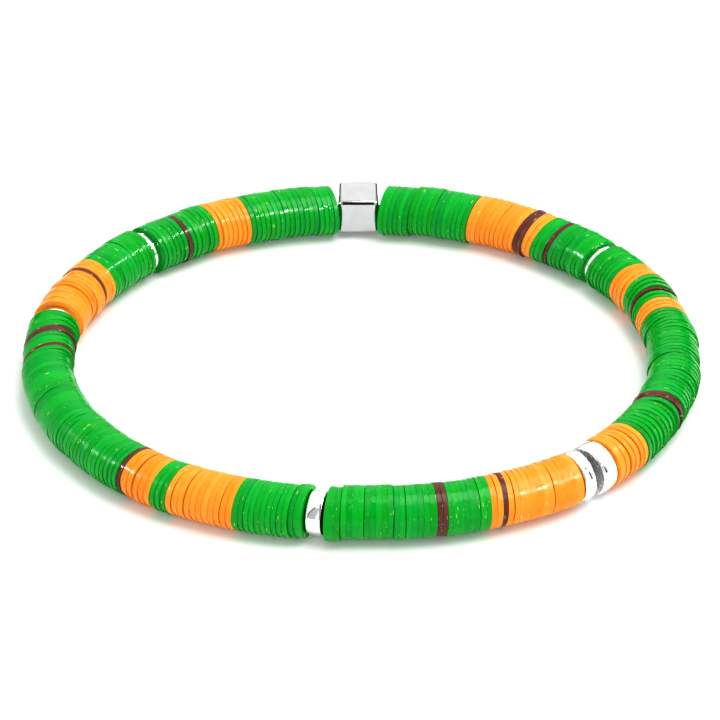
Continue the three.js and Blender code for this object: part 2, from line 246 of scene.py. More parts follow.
disc_radius = DISC_DIAMETER / 2
cube_end_flat = CUBE_SIDE / 2 - CUBE_EDGE
cube_end_reach = math.hypot(cube_end_flat, cube_end_flat) - CUBE_OUT
barrel_reach = BARREL_DIAMETER / 2 - BARREL_EDGE
spacer_reach = SPACER_DIAMETER / 2 - SPACER_EDGE

# Length and reach of each kind of metal bead
METAL = {
    "cube": (CUBE_LENGTH, cube_end_reach),
    "wide_barrel": (WIDE_BARREL_LENGTH, barrel_reach),
    "narrow_barrel": (NARROW_BARREL_LENGTH, barrel_reach),
    "wide_spacer": (WIDE_SPACER_LENGTH, spacer_reach),
    "narrow_spacer": (NARROW_SPACER_LENGTH, spacer_reach),
}


def node_names():
    """CAD node of each run of the strand."""
    counts = {}
    names = []
    for kind, *_ in STRAND:
        if kind == "cube":
            names.append("cube_bead")
            continue
        base = NODE_NAMES[kind]
        counts[base] = counts.get(base, 0) + 1
        names.append(f"{base}_{counts[base]:02d}")
    return names


def scatter_values(state):
    """The values of the scatter, in -1..1."""
    while True:
        state = (state * SCATTER_FACTOR + SCATTER_STEP) % SCATTER_RANGE
        yield state / SCATTER_RANGE * 2 - 1


scatter = scatter_values(SCATTER_SEED)
extra = random.Random(EXTRA_SEED)


def slant_at(values, share):
    return math.radians(values[0] + (values[1] - values[0]) * share)


def list_beads():
    """Threading order: one entry per loose disc, per solid pair and per metal bead."""
    beads = []
    for run, (kind, discs, leans, tilts) in enumerate(STRAND):
        solid_discs = discs if kind == "brown" else 1
        length = solid_discs * DISC_THICKNESS + (solid_discs - 1) * DISC_PLAY
        reach, play = disc_radius, DISC_PLAY
        if kind in METAL:
            length, reach = METAL[kind]
            play = METAL_PLAY
        count = discs // solid_discs
        for i in range(count):
            share = i / (count - 1) if count > 1 else 0
            bead = dict(run=run, kind=kind, discs=solid_discs)
            bead.update(length=length, reach=reach, play=play)
            bead.update(lean=slant_at(leans, share), tilt=slant_at(tilts, share))
            beads.append(bead)
    return beads


def loop_at(angle):
    """Point, pace and heading of the unit loop at a clockwise angle from its back."""
    a = math.pi / 2 - angle
    radius = 1 + LOOP_OVAL * math.cos(2 * a) + LOOP_SQUARE * math.cos(4 * a)
    radius += LOOP_SKEW * math.sin(3 * a)
    slope = -2 * LOOP_OVAL * math.sin(2 * a) - 4 * LOOP_SQUARE * math.sin(4 * a)
    slope += 3 * LOOP_SKEW * math.cos(3 * a)
    dx = radius * math.sin(a) - slope * math.cos(a)
    dy = -radius * math.cos(a) - slope * math.sin(a)
    return radius * math.cos(a), radius * math.sin(a), math.hypot(dx, dy), math.atan2(dy, dx)


def turn_between(first, second):
    """Signed turn from the second heading to the first."""
    turn = first - second
    return turn - TURN * round(turn / TURN)


def next_angle(angle, bead, after, mean_radius):
    """Angle of the next bead: their faces keep the play at the rim where they come closest."""
    heading = loop_at(angle)[3]
    reach = min(bead["reach"], after["reach"])
    play = max(bead["play"], after["play"])
    halves = (bead["length"] + after["length"]) / 2
    slant = math.cos((bead["lean"] + after["lean"]) / 2)
    slant *= math.cos((bead["tilt"] + after["tilt"]) / 2)
    step = halves / mean_radius
    change = step
    while abs(change) > SETTLED:
        turn = turn_between(heading, loop_at(angle + step)[3]) + after["lean"] - bead["lean"]
        wedge = math.hypot(turn, after["tilt"] - bead["tilt"])
        apart = (halves + play + reach * wedge) / slant
        change = apart / (mean_radius * loop_at(angle + step / 2)[2]) - step
        step += change
    return angle + step


def thread(beads, mean_radius):
    """Angle of each bead, and the angle at which the strand is back at the first one."""
    angles = []
    angle = -CUBE_SHIFT / mean_radius
    for i, bead in enumerate(beads):
        angles.append(angle)
        angle = next_angle(angle, bead, beads[(i + 1) % len(beads)], mean_radius)
    return angles, angle


def fit_loop(beads):
    """Mean radius at which the strand closes."""
    mean_radius = sum(bead["length"] for bead in beads) / TURN
    excess = 1
    while abs(excess) > SETTLED:
        angles, end = thread(beads, mean_radius)
        excess = (end - angles[0]) / TURN - 1
        mean_radius *= 1 + excess
    return mean_radius


def closing_shares(beads):
    """Share of the gap after each bead that the soft faces close."""
    left = extra.randint(*FIRST_GROUP)
    for i, bead in enumerate(beads):
        after = beads[(i + 1) % len(beads)]
        if "cube" in (bead["kind"], after["kind"]):
            bead["closing"] = 0.0
            left = extra.randint(*GROUP_AFTER_METAL)
        elif bead["kind"] in METAL or after["kind"] in METAL:
            bead["closing"] = CLOSING_BY_METAL
            left = extra.randint(*GROUP_AFTER_METAL)
        elif left == 0:
            bead["closing"] = extra.uniform(*CLOSING_OPEN)
            left = extra.randint(*GROUP)
        else:
            bead["closing"] = extra.uniform(*CLOSING_TIGHT)
            left -= 1


def disc_places(beads):
    """How far outward and up each disc lies, in millimetres."""
    places = []
    wander = [next(scatter), next(scatter)]
    wander_next = [next(scatter), next(scatter)]
    group = None
    for i, bead in enumerate(beads):
        share = (i % DISC_WANDER_COUNT) / DISC_WANDER_COUNT
        if i > 0 and share == 0:
            wander = wander_next
            wander_next = [next(scatter), next(scatter)]
        slow = [a + (b - a) * share for a, b in zip(wander, wander_next)]
        own = np.array([way * DISC_WANDER + next(scatter) * DISC_SCATTER for way in slow])
        # The discs of a group lie nearly flush, at the place of the group's first disc
        if group is None or beads[i - 1]["closing"] < CLOSING_LIMIT:
            slip = [extra.uniform(-GROUP_SLIP, GROUP_SLIP) for _ in range(2)]
            group = own + np.array(slip)
        # The brown discs turn on their own axes, so they stay just where the frame has them
        hold = 0 if bead["kind"] == "brown" else GROUP_SHARE
        places.append(own + (group - own) * hold)
    return places


def place_beads():
    """Centre, axis, outward side and upper side of each bead, in millimetres about the middle."""
    beads = list_beads()
    mean_radius = fit_loop(beads)
    angles, _ = thread(beads, mean_radius)
    closing_shares(beads)
    places = disc_places(beads)
    for bead, angle, (out, up) in zip(beads, angles, places):
        x, y, _, heading = loop_at(angle)
        heading -= bead["lean"]
        tilt = bead["tilt"]
        ahead = math.cos(tilt) * math.cos(heading), math.cos(tilt) * math.sin(heading)
        bead["turn"] = angle - angles[0]
        bead["outward"] = np.array([-math.sin(heading), math.cos(heading), 0])
        bead["along"] = np.array([*ahead, math.sin(tilt)])
        bead["upward"] = np.cross(bead["along"], bead["outward"])
        bead["centre"] = np.array([x * mean_radius, y * mean_radius, disc_radius])
        if bead["kind"] not in METAL:
            bead["centre"] += bead["outward"] * out
            rest = disc_radius * math.cos(tilt) + bead["length"] / 2 * abs(math.sin(tilt))
            bead["centre"][2] = rest + max(0, up)
    beads[0]["centre"] += beads[0]["outward"] * CUBE_OUT
    beads[0]["centre"][2] = disc_radius + CUBE_LIFT
    return beads, mean_radius, angles[0]


beads, mean_radius, start = place_beads()
names = node_names()
behaviour = frame["record"]["behaviour"]
body_of = {node: body for body, nodes in behaviour["bodies"].items() for node in nodes}

# The frame's origin is under the middle of its box, so the loop's middle lies a little off it
low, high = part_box("cube_bead")
middle = np.array([(low.x + high.x) / 2, (low.y + high.y) / 2, 0])
middle[:2] -= beads[0]["centre"][:2] * MM


# Materials: the part of a noise's range that is used, and the depth of their relief in metres
NOISE_LOW = 0.3
NOISE_HIGH = 0.7
BUMP_DEPTH = 0.00002

# Scales of the vinyl's patterns, in features per millimetre: two ways across a disc, and along it
STREAK_SCALE = (0.5, 0.5, 8.0)
CLOUD_SCALE = (0.9, 0.9, 1.4)
FLAKE_SCALE = (1.7, 1.7, 8.0)
DOT_SCALE = (3.6, 3.6, 9.0)

# Shade of the vinyl: what the disc's own tone, the streaks and the clouds add, and the most tint
VINYL_TONE = 0.5
VINYL_STREAKS = 0.28
VINYL_CLOUDS = 0.22
VINYL_TINT = 0.22

# Gloss, relief and glow of the vinyl
VINYL_ROUGHNESS = (0.08, 0.32)
VINYL_DULL_RANGE = (0.1, 0.9)
VINYL_DULL_CLOUDS = 0.25
VINYL_SPECULAR = 0.19
VINYL_BUMP = 0.35
VINYL_GLOW_DEPTH = 0.0004

# Flakes and dots in the vinyl: sizes in cells, how they show, and where they are sown thin and thick
FLAKE_SIZE = 0.55
FLAKE_SHOWN = 0.75
FLAKE_BUMP = 0.7
FLAKE_SOFT_EDGE = 0.06
DOT_SIZE = 0.5
DOT_SHARE = 0.7
DOT_SHOWN = 0.6
SOWN_SCALE = 0.55
SOWN_RANGE = (0.42, 0.66)
SOWN_THIN = 0.3
SOWN_THICK = 3.0

# Wear of the metal
METAL_WORN = 0.94
METAL_WEAR_RANGE = (0.38, 0.62)
METAL_ROUGH_RANGE = (0.2, 0.8)
METAL_ROUGH_SPREAD = (0.7, 1.3)

# Elastic cord
CORD_DARK = (0.1, 0.1, 0.1)
CORD_LIGHT = (0.17, 0.17, 0.17)
CORD_CLOUD_SCALE = 900.0
CORD_ROUGHNESS = 0.35
CORD_GLOW = 0.4
CORD_GLOW_DEPTH = 0.0003


def new_material(name):
    material = bpy.data.materials.new(name)
    material.use_nodes = True
    tree = material.node_tree
    shader = tree.nodes["Principled BSDF"]
    return material, tree, shader


def feed(tree, socket, value):
    """A number, a colour or another node's output goes into a socket."""
    if isinstance(value, (int, float)):
        socket.default_value = value
    elif isinstance(value, tuple):
        socket.default_value = (*value, 1)
    else:
        tree.links.new(value, socket)


def math_node(tree, operation, a, b):
    node = tree.nodes.new("ShaderNodeMath")
    node.operation = operation
    feed(tree, node.inputs[0], a)
    feed(tree, node.inputs[1], b)
    return node.outputs[0]


def mix_colour(tree, factor, a, b):
    node = tree.nodes.new("ShaderNodeMix")
    node.data_type = "RGBA"
    feed(tree, node.inputs["Factor"], factor)
    feed(tree, node.inputs[6], a)
    feed(tree, node.inputs[7], b)
    return node.outputs[2]


def noise(tree, vector, scale, detail=2.0, roughness=0.5):
    node = tree.nodes.new("ShaderNodeTexNoise")
    node.inputs["Scale"].default_value = scale
    node.inputs["Detail"].default_value = detail
    node.inputs["Roughness"].default_value = roughness
    tree.links.new(vector, node.inputs["Vector"])
    return node.outputs["Fac"]


def stretched(tree, vector, scale):
    node = tree.nodes.new("ShaderNodeVectorMath")
    node.operation = "MULTIPLY"
    tree.links.new(vector, node.inputs[0])
    node.inputs[1].default_value = scale
    return node.outputs[0]


def ramp(tree, value, low, high, to_low=0.0, to_high=1.0):
    """Carries a value from one range to another, held at its ends."""
    node = tree.nodes.new("ShaderNodeMapRange")
    node.clamp = True
    node.inputs["From Min"].default_value = low
    node.inputs["From Max"].default_value = high
    node.inputs["To Min"].default_value = to_low
    node.inputs["To Max"].default_value = to_high
    tree.links.new(value, node.inputs["Value"])
    return node.outputs["Result"]


def attribute(tree, name):
    node = tree.nodes.new("ShaderNodeAttribute")
    node.attribute_name = name
    return node.outputs["Vector"]


def add_bump(tree, shader, height, strength):
    bump = tree.nodes.new("ShaderNodeBump")
    bump.inputs["Strength"].default_value = strength
    bump.inputs["Distance"].default_value = BUMP_DEPTH
    tree.links.new(height, bump.inputs["Height"])
    tree.links.new(bump.outputs["Normal"], shader.inputs["Normal"])


def specks(tree, place, scale, amount, size):
    """Small pressed-in flakes, long round the rim and thicker sown in some places: their mask."""
    cells = tree.nodes.new("ShaderNodeTexVoronoi")
    cells.inputs["Scale"].default_value = 1.0
    tree.links.new(stretched(tree, place, scale), cells.inputs["Vector"])
    chosen = tree.nodes.new("ShaderNodeSeparateColor")
    tree.links.new(cells.outputs["Color"], chosen.inputs["Color"])
    sown = noise(tree, place, SOWN_SCALE, 1.0)
    sown = ramp(tree, sown, *SOWN_RANGE, amount * SOWN_THIN, amount * SOWN_THICK)
    rare = math_node(tree, "ADD", chosen.outputs["Red"], sown)
    rare = math_node(tree, "GREATER_THAN", rare, 1.0)
    reach = math_node(tree, "MULTIPLY", chosen.outputs["Green"], size)
    near = math_node(tree, "SUBTRACT", reach, cells.outputs["Distance"])
    near = ramp(tree, near, 0.0, FLAKE_SOFT_EDGE)
    return math_node(tree, "MULTIPLY", rare, near)


def vinyl(name, dark, light, cool, warm, flake, flake_amount, glow):
    """Semi-gloss punched vinyl: a tone and a tint per disc, cut streaks round the rim, few flakes."""
    material, tree, shader = new_material(name)
    place = attribute(tree, "rim_place")
    tone = tree.nodes.new("ShaderNodeSeparateXYZ")
    tree.links.new(attribute(tree, "disc_tone"), tone.inputs["Vector"])
    streaks = noise(tree, stretched(tree, place, STREAK_SCALE), 1.0, 3.0, 0.6)
    cloud = noise(tree, stretched(tree, place, CLOUD_SCALE), 1.0, 2.0)

    # Colour: half of the way from dark to light is the disc's own, the rest its streaks and clouds
    shade = math_node(tree, "MULTIPLY", tone.outputs["X"], VINYL_TONE)
    streaked = ramp(tree, streaks, NOISE_LOW, NOISE_HIGH, 0.0, VINYL_STREAKS)
    shade = math_node(tree, "ADD", shade, streaked)
    clouded = ramp(tree, cloud, NOISE_LOW, NOISE_HIGH, 0.0, VINYL_CLOUDS)
    shade = math_node(tree, "ADD", shade, clouded)
    colour = mix_colour(tree, shade, dark, light)
    cooled = ramp(tree, tone.outputs["Y"], 0.5, 0.0, 0.0, VINYL_TINT)
    colour = mix_colour(tree, cooled, colour, cool)
    warmed = ramp(tree, tone.outputs["Y"], 0.5, 1.0, 0.0, VINYL_TINT)
    colour = mix_colour(tree, warmed, colour, warm)

    # Flakes, and smaller and fainter dots
    flakes = specks(tree, place, FLAKE_SCALE, flake_amount, FLAKE_SIZE)
    dots = specks(tree, place, DOT_SCALE, flake_amount * DOT_SHARE, DOT_SIZE)
    dots = math_node(tree, "MULTIPLY", dots, DOT_SHOWN)
    flakes = math_node(tree, "MAXIMUM", flakes, dots)
    colour = mix_colour(tree, math_node(tree, "MULTIPLY", flakes, FLAKE_SHOWN), colour, flake)
    tree.links.new(colour, shader.inputs["Base Color"])

    # Gloss: each disc is glossier or duller, and its clouds make it uneven
    dull = ramp(tree, cloud, NOISE_LOW, NOISE_HIGH, -VINYL_DULL_CLOUDS, VINYL_DULL_CLOUDS)
    dull = math_node(tree, "ADD", tone.outputs["Z"], dull)
    rough = ramp(tree, dull, *VINYL_DULL_RANGE, *VINYL_ROUGHNESS)
    tree.links.new(rough, shader.inputs["Roughness"])
    shader.inputs["Specular IOR Level"].default_value = VINYL_SPECULAR
    shader.inputs["Subsurface Weight"].default_value = glow
    shader.inputs["Subsurface Radius"].default_value = (1.0, 1.0, 1.0)
    shader.inputs["Subsurface Scale"].default_value = VINYL_GLOW_DEPTH
    height = math_node(tree, "MULTIPLY", flakes, FLAKE_BUMP)
    height = math_node(tree, "ADD", streaks, height)
    add_bump(tree, shader, height, VINYL_BUMP)
    return material


def metal(name, colour, roughness, grain, grain_scale, worn=METAL_WORN):
    """Metal with a fine grain, down to the worn share of its colour in the hollows."""
    material, tree, shader = new_material(name)
    place = tree.nodes.new("ShaderNodeTexCoord")
    wear = noise(tree, place.outputs["Object"], grain_scale, 4.0)
    shader.inputs["Metallic"].default_value = 1.0
    clean = ramp(tree, wear, *METAL_WEAR_RANGE)
    colour = mix_colour(tree, clean, tuple(c * worn for c in colour), colour)
    tree.links.new(colour, shader.inputs["Base Color"])
    low, high = METAL_ROUGH_SPREAD
    rough = ramp(tree, wear, *METAL_ROUGH_RANGE, roughness * low, roughness * high)
    tree.links.new(rough, shader.inputs["Roughness"])
    add_bump(tree, shader, wear, grain)
    return material


def cord_material():
    """Elastic cord in the beads' shade, slightly clouded."""
    material, tree, shader = new_material("elastic_cord")
    place = tree.nodes.new("ShaderNodeTexCoord")
    cloud = noise(tree, place.outputs["Object"], CORD_CLOUD_SCALE, 3.0)
    colour = mix_colour(tree, cloud, CORD_DARK, CORD_LIGHT)
    tree.links.new(colour, shader.inputs["Base Color"])
    shader.inputs["Roughness"].default_value = CORD_ROUGHNESS
    shader.inputs["Subsurface Weight"].default_value = CORD_GLOW
    shader.inputs["Subsurface Scale"].default_value = CORD_GLOW_DEPTH
    return material


MATERIALS = {
    "green": vinyl(
        "green_vinyl",
        dark=(0.0, 0.252, 0.021),
        light=(0.006, 0.425, 0.044),
        cool=(0.004, 0.33, 0.085),
        warm=(0.02, 0.4, 0.002),
        flake=(0.52, 0.6, 0.14),
        flake_amount=0.028,
        glow=0.1,
    ),
    "orange": vinyl(
        "orange_vinyl",
        dark=(0.8, 0.236, 0.01),
        light=(0.92, 0.382, 0.055),
        cool=(0.9, 0.36, 0.08),
        warm=(0.88, 0.22, 0.002),
        flake=(0.98, 0.72, 0.35),
        flake_amount=0.012,
        glow=0.12,
    ),
    "brown": vinyl(
        "brown_vinyl",
        dark=(0.1, 0.031, 0.024),
        light=(0.17, 0.062, 0.05),
        cool=(0.15, 0.075, 0.07),
        warm=(0.17, 0.05, 0.03),
        flake=(0.5, 0.42, 0.36),
        flake_amount=0.05,
        glow=0.05,
    ),
    "silver": metal(
        "polished_silver",
        (0.96, 0.96, 0.965),
        roughness=0.07,
        grain=0.0,
        grain_scale=700.0,
    ),
    "cast": metal(
        "cast_silver",
        (0.56, 0.56, 0.565),
        roughness=0.1,
        grain=0.01,
        grain_scale=700.0,
    ),
    "matte": metal(
        "matte_silver",
        (1.0, 1.0, 1.0),
        roughness=0.4,
        grain=0.5,
        grain_scale=3800.0,
        worn=0.6,
    ),
    # Dark silver for the spacers' flat ends: painted shade, standing for the shadow in the narrow
    # gaps beside them
    "dark": metal(
        "darkened_silver",
        (0.09, 0.09, 0.09),
        roughness=0.45,
        grain=0.4,
        grain_scale=3000.0,
    ),
    "cord": cord_material(),
}


# Discs
rim_angles = np.arange(RIM_SEGMENTS) / RIM_SEGMENTS * TURN


def on_circle(bead, radius):
    """Points round a bead's axis, from its centre."""
    across = np.outer(radius * np.cos(rim_angles), bead["outward"])
    return across + np.outer(radius * np.sin(rim_angles), bead["upward"])


def neighbour_gap(bead, other, side, radius):
    """Clear distance from a disc's rigid face to its neighbour's at each rim angle."""
    face = bead["centre"] + bead["along"] * (side * bead["length"] / 2)
    face_other = other["centre"] - other["along"] * (side * other["length"] / 2)
    apart = (face_other + on_circle(other, radius)) - (face + on_circle(bead, radius))
    return np.maximum(0, apart @ bead["along"] * side)


def reach_share(bead, other):
    """Part of the closed gap that this disc's face takes: a disc that turns keeps its face flat."""
    if bead["run"] == other["run"]:
        return FACE_HALF
    if bead["kind"] == "brown":
        return 0.0
    firm = other["kind"] == "brown" or other["kind"] in METAL
    return FACE_TOWARD_FIRM if firm else FACE_HALF


def disc_profile(closing):
    """Radius, depth below the face and share of the rim's wave, from the bore to the rim."""
    edge = extra.uniform(*(RIM_EDGE_TIGHT if closing > CLOSING_LIMIT else RIM_EDGE_OPEN))
    bore = DISC_BORE / 2
    shoulder = RIM_EDGE_SHOULDER * edge
    return [
        (bore, BORE_CHAMFER, 0),
        (bore + BORE_CHAMFER, 0, 0),
        (RIM_RADIUS - edge, 0, 1),
        (RIM_RADIUS - shoulder, shoulder, 1),
        (RIM_RADIUS, edge, 1),
        (RIM_RADIUS, edge + RIM_BAND, 1),
    ]


def disc_rings(bead, before, after, closings):
    """Rings of points of one disc with their places, its faces drawn towards its neighbours'."""
    wave = np.zeros(RIM_SEGMENTS)
    for order, part in RIM_WAVES:
        wave += part * np.sin(order * rim_angles + extra.uniform(0, TURN))
    cone = extra.uniform(-RIM_CONE, RIM_CONE)
    spread = extra.uniform(0, PATTERN_SPREAD)
    rings = []
    for side, other, closing in ((-1, before, closings[0]), (1, after, closings[1])):
        profile = disc_profile(closing)
        for radius, depth, share in profile if side < 0 else reversed(profile):
            reach = neighbour_gap(bead, other, side, radius) * closing
            reach = reach * reach_share(bead, other)
            reach = side * (bead["length"] / 2 + reach - depth)
            r = radius + share * (wave * RIM_WAVE + side * cone)
            points = bead["centre"] + np.outer(reach, bead["along"]) + on_circle(bead, r)
            places = r * np.cos(rim_angles), r * np.sin(rim_angles), reach + spread
            rings.append((points, np.stack(places, axis=1)))
    return rings, len(profile)


def finish_piece(name, data, materials):
    piece = bpy.data.objects.new(name, data)
    bpy.context.scene.collection.objects.link(piece)
    for material in materials:
        data.materials.append(material)
    return piece


def finish_mesh(mesh, name, materials):
    data = bpy.data.meshes.new(name)
    bmesh.ops.recalc_face_normals(mesh, faces=mesh.faces)
    mesh.to_mesh(data)
    mesh.free()
    return finish_piece(name, data, materials)


def dress(piece, node):
    """The piece stands for a node of the frame and rides where it does."""
    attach(piece, body_of[node])
    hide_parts(node)


def split_pair(bead):
    """A touching pair of brown discs as two discs."""
    if bead["discs"] < 2:
        return [bead]
    pitch = DISC_THICKNESS + DISC_PLAY
    halves = []
    for side in (-1, 1):
        half = dict(bead)
        half["length"] = DISC_THICKNESS
        half["centre"] = bead["centre"] + bead["along"] * (side * pitch / 2)
        halves.append(half)
    return halves


def ring_faces(base, rings):
    """Quads between the rings of one disc, closed through the bore."""
    ring = np.arange(rings)[:, None] * RIM_SEGMENTS
    following = (np.arange(rings)[:, None] + 1) % rings * RIM_SEGMENTS
    k = np.arange(RIM_SEGMENTS)[None, :]
    n = (k + 1) % RIM_SEGMENTS
    quads = np.stack(np.broadcast_arrays(ring + k, ring + n, following + n, following + k), axis=-1)
    return base + quads.reshape(-1, 4)


def discs_of(run):
    """Each disc of a run, with the discs or beads on both sides and the closing of both gaps."""
    for i, bead in enumerate(beads):
        if bead["run"] != run:
            continue
        own = split_pair(bead)
        before = split_pair(beads[i - 1])[-1]
        after = split_pair(beads[(i + 1) % len(beads)])[0]
        row = [before, *own, after]
        inside = [CLOSING_IN_PAIR] * (len(own) - 1)
        closings = [beads[i - 1]["closing"], *inside, bead["closing"]]
        for j, disc in enumerate(own):
            yield disc, row[j], row[j + 2], (closings[j], closings[j + 1])


def build_run(run, kind):
    """One colour block of discs as one piece."""
    points, places, tones, quads, smooth = [], [], [], [], []
    for disc, before, after, closings in discs_of(run):
        rings, steps = disc_rings(disc, before, after, closings)
        quads.append(ring_faces(len(points) * RIM_SEGMENTS, len(rings)))
        # Both faces are flat, from the bore's chamfer to the rim's edge
        flat = np.isin(np.arange(len(rings)), (1, 2 * steps - 3))
        smooth.append(np.repeat(~flat, RIM_SEGMENTS))
        tone = (extra.random(), extra.random(), extra.random())
        for ring_points, ring_places in rings:
            points.append(ring_points)
            places.append(ring_places)
            tones.append(np.tile(tone, (RIM_SEGMENTS, 1)))
    name = names[run].replace("discs", "disc_block").replace("brown_disc", "brown_marker")
    data = bpy.data.meshes.new(name)
    vertices = np.concatenate(points) * MM + middle
    data.from_pydata(vertices.tolist(), [], np.concatenate(quads).tolist())
    data.polygons.foreach_set("use_smooth", np.concatenate(smooth))
    for layer, values in (("rim_place", places), ("disc_tone", tones)):
        data.attributes.new(layer, "FLOAT_VECTOR", "POINT")
        data.attributes[layer].data.foreach_set("vector", np.concatenate(values).ravel())
    piece = finish_piece(name, data, [MATERIALS[kind]])
    dress(piece, names[run])


# Metal beads
BARREL_PROFILE = dict(
    radius=BARREL_DIAMETER / 2,
    edge=BARREL_EDGE * BARREL_ROUND_SHARE,
    crown=BARREL_CROWN,
    bore=BARREL_BORE / 2,
    steps=BARREL_ROUND_STEPS,
)
SPACER_PROFILE = dict(
    radius=SPACER_DIAMETER / 2,
    edge=SPACER_EDGE,
    crown=SPACER_CROWN,
    bore=SPACER_BORE / 2,
    steps=SPACER_ROUND_STEPS,
)


def lathe(mesh, bead, profile, end_rows):
    """Turns a closed profile round the bead's axis; the flat ends take the second material."""
    rows = []
    for along, radius in profile:
        row = []
        for k in range(TURNED_SEGMENTS):
            angle = k / TURNED_SEGMENTS * TURN
            out, up = radius * math.cos(angle), radius * math.sin(angle)
            across = bead["outward"] * out + bead["upward"] * up
            point = bead["centre"] + bead["along"] * along + across
            row.append(mesh.verts.new(point * MM + middle))
        rows.append(row)
    for r, row in enumerate(rows):
        following = rows[(r + 1) % len(rows)]
        for k in range(TURNED_SEGMENTS):
            n = (k + 1) % TURNED_SEGMENTS
            face = mesh.faces.new((row[k], row[n], following[n], following[k]))
            face.smooth = r not in end_rows
            face.material_index = 1 if r in end_rows else 0


def bead_profile(length, radius, edge, crown, bore, steps):
    """Half-round rims and a slightly crowned outside, from one bore mouth to the other."""
    half = length / 2
    low = radius - edge - crown
    points = [(-half + BORE_MOUTH, bore), (-half, bore + BORE_MOUTH)]
    for i in range(steps + 1):
        angle = i / steps * math.pi / 2
        along = -half + edge - edge * math.cos(angle)
        points.append((along, low + edge * math.sin(angle)))
    for i in range(1, CROWN_STEPS):
        share = i / CROWN_STEPS * 2 - 1
        points.append((share * (half - edge), radius - crown * share * share))
    for i in range(steps + 1):
        angle = (1 - i / steps) * math.pi / 2
        along = half - edge + edge * math.cos(angle)
        points.append((along, low + edge * math.sin(angle)))
    points += [(half, bore + BORE_MOUTH), (half - BORE_MOUTH, bore)]
    return points


def build_turned(run, bead):
    """Spacer ring or barrel bead."""
    barrel = "barrel" in bead["kind"]
    profile = bead_profile(bead["length"], **(BARREL_PROFILE if barrel else SPACER_PROFILE))
    mesh = bmesh.new()
    lathe(mesh, bead, profile, end_rows=(1, len(profile) - 3))
    # The barrels' flat ends are matte silver; the spacers' flat ends are dark silver, a painted shade
    # for the shadow in the gaps beside them
    ends = MATERIALS["matte" if barrel else "dark"]
    piece = finish_mesh(mesh, names[run] + "_turned", [MATERIALS["silver"], ends])
    dress(piece, names[run])


def build_cube(run, bead):
    """Cast cube bead: block with rounded edges and a round bore."""
    mesh = bmesh.new()
    bmesh.ops.create_cube(mesh, size=1.0)
    sides = (CUBE_LENGTH, CUBE_SIDE, CUBE_SIDE)
    for vertex in mesh.verts:
        vertex.co = Vector([c * s for c, s in zip(vertex.co, sides)]) * MM
    bmesh.ops.bevel(
        mesh,
        geom=mesh.edges[:],
        offset=CUBE_EDGE * MM,
        segments=CUBE_ROUND_STEPS,
        profile=0.5,
        affect="EDGES",
    )
    block = finish_mesh(mesh, "cube_bead_cast", [MATERIALS["cast"]])
    drill = bmesh.new()
    bmesh.ops.create_cone(
        drill,
        cap_ends=True,
        segments=CUBE_BORE_SEGMENTS,
        radius1=CUBE_BORE / 2 * MM,
        radius2=CUBE_BORE / 2 * MM,
        depth=CUBE_LENGTH * 2 * MM,
    )
    for vertex in drill.verts:
        vertex.co = Vector((vertex.co.z, vertex.co.y, -vertex.co.x))
    tool = finish_mesh(drill, "bore_tool", [])
    cut = block.modifiers.new("bore", "BOOLEAN")
    cut.object = tool
    cut.solver = "EXACT"
    bpy.context.view_layer.update()
    evaluated = block.evaluated_get(bpy.context.evaluated_depsgraph_get())
    data = bpy.data.meshes.new_from_object(evaluated)
    block.modifiers.clear()
    block.data = data
    bpy.data.objects.remove(tool)
    centre = Vector(bead["centre"] * MM + middle)
    for vertex in data.vertices:
        x, y, z = vertex.co
        vertex.co = centre + Vector(bead["along"] * x + bead["outward"] * y + bead["upward"] * z)
    for polygon in data.polygons:
        polygon.use_smooth = True
    data.set_sharp_from_angle(angle=math.radians(CUBE_SHARP_DEGREES))
    dress(block, names[run])


# Cord and knot
def cord_point(turn):
    """Point of the cord: it swings up and out to the cube bead's middle."""
    turn %= TURN
    x, y, _, heading = loop_at(start + turn)
    from_cube = min(turn, TURN - turn) * mean_radius
    swing = math.exp(-((from_cube / CORD_RISE_LENGTH) ** 2))
    outward = np.array([-math.sin(heading), math.cos(heading), 0])
    point = np.array([x * mean_radius, y * mean_radius, disc_radius + CUBE_LIFT * swing])
    return Vector((point + outward * (CUBE_OUT * swing)) * MM + middle)


def tube(mesh, points, radius, sides):
    """Round tube along the points; the first and last one only give the directions of its ends."""
    rows = []
    for behind, point, ahead in zip(points, points[1:], points[2:]):
        along = (ahead - behind).normalized()
        side = along.cross(Vector((0, 0, 1))).normalized()
        rise = side.cross(along)
        row = []
        for k in range(sides):
            angle = k / sides * TURN
            across = side * (radius * math.cos(angle)) + rise * (radius * math.sin(angle))
            row.append(mesh.verts.new(point + across))
        rows.append(row)
    for row, following in zip(rows, rows[1:]):
        for k in range(sides):
            n = (k + 1) % sides
            mesh.faces.new((row[k], row[n], following[n], following[k])).smooth = True
    mesh.faces.new(rows[0])
    mesh.faces.new(rows[-1])


def cord_length(name, first, last, steps):
    """One length of the cord between two turns of the loop."""
    mesh = bmesh.new()
    turns = [first + (last - first) * i / steps for i in range(-1, steps + 2)]
    tube(mesh, [cord_point(turn) for turn in turns], CORD_DIAMETER / 2 * MM, CORD_SIDES)
    piece = finish_mesh(mesh, name, [MATERIALS["cord"]])
    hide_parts("elastic_cord")
    return piece


def segment_of(bead):
    """Body of the segment that a bead is in: a turning bead's body is carried by its segment's."""
    body = body_of[names[bead["run"]]]
    for joint in behaviour["joints"]:
        if joint["child"] == body and joint["type"] == "hinge":
            body = joint["parent"]
    return body


def stretch_gaps():
    """Where the strand opens when it stretches: turn of the loop, and the bodies on both sides."""
    gaps = []
    for i, bead in enumerate(beads):
        after = beads[(i + 1) % len(beads)]
        bodies = segment_of(bead), segment_of(after)
        if bodies[0] != bodies[1]:
            turn_after = after["turn"] if after["turn"] > 0 else TURN
            gaps.append(((bead["turn"] + turn_after) / 2, *bodies))
    return gaps


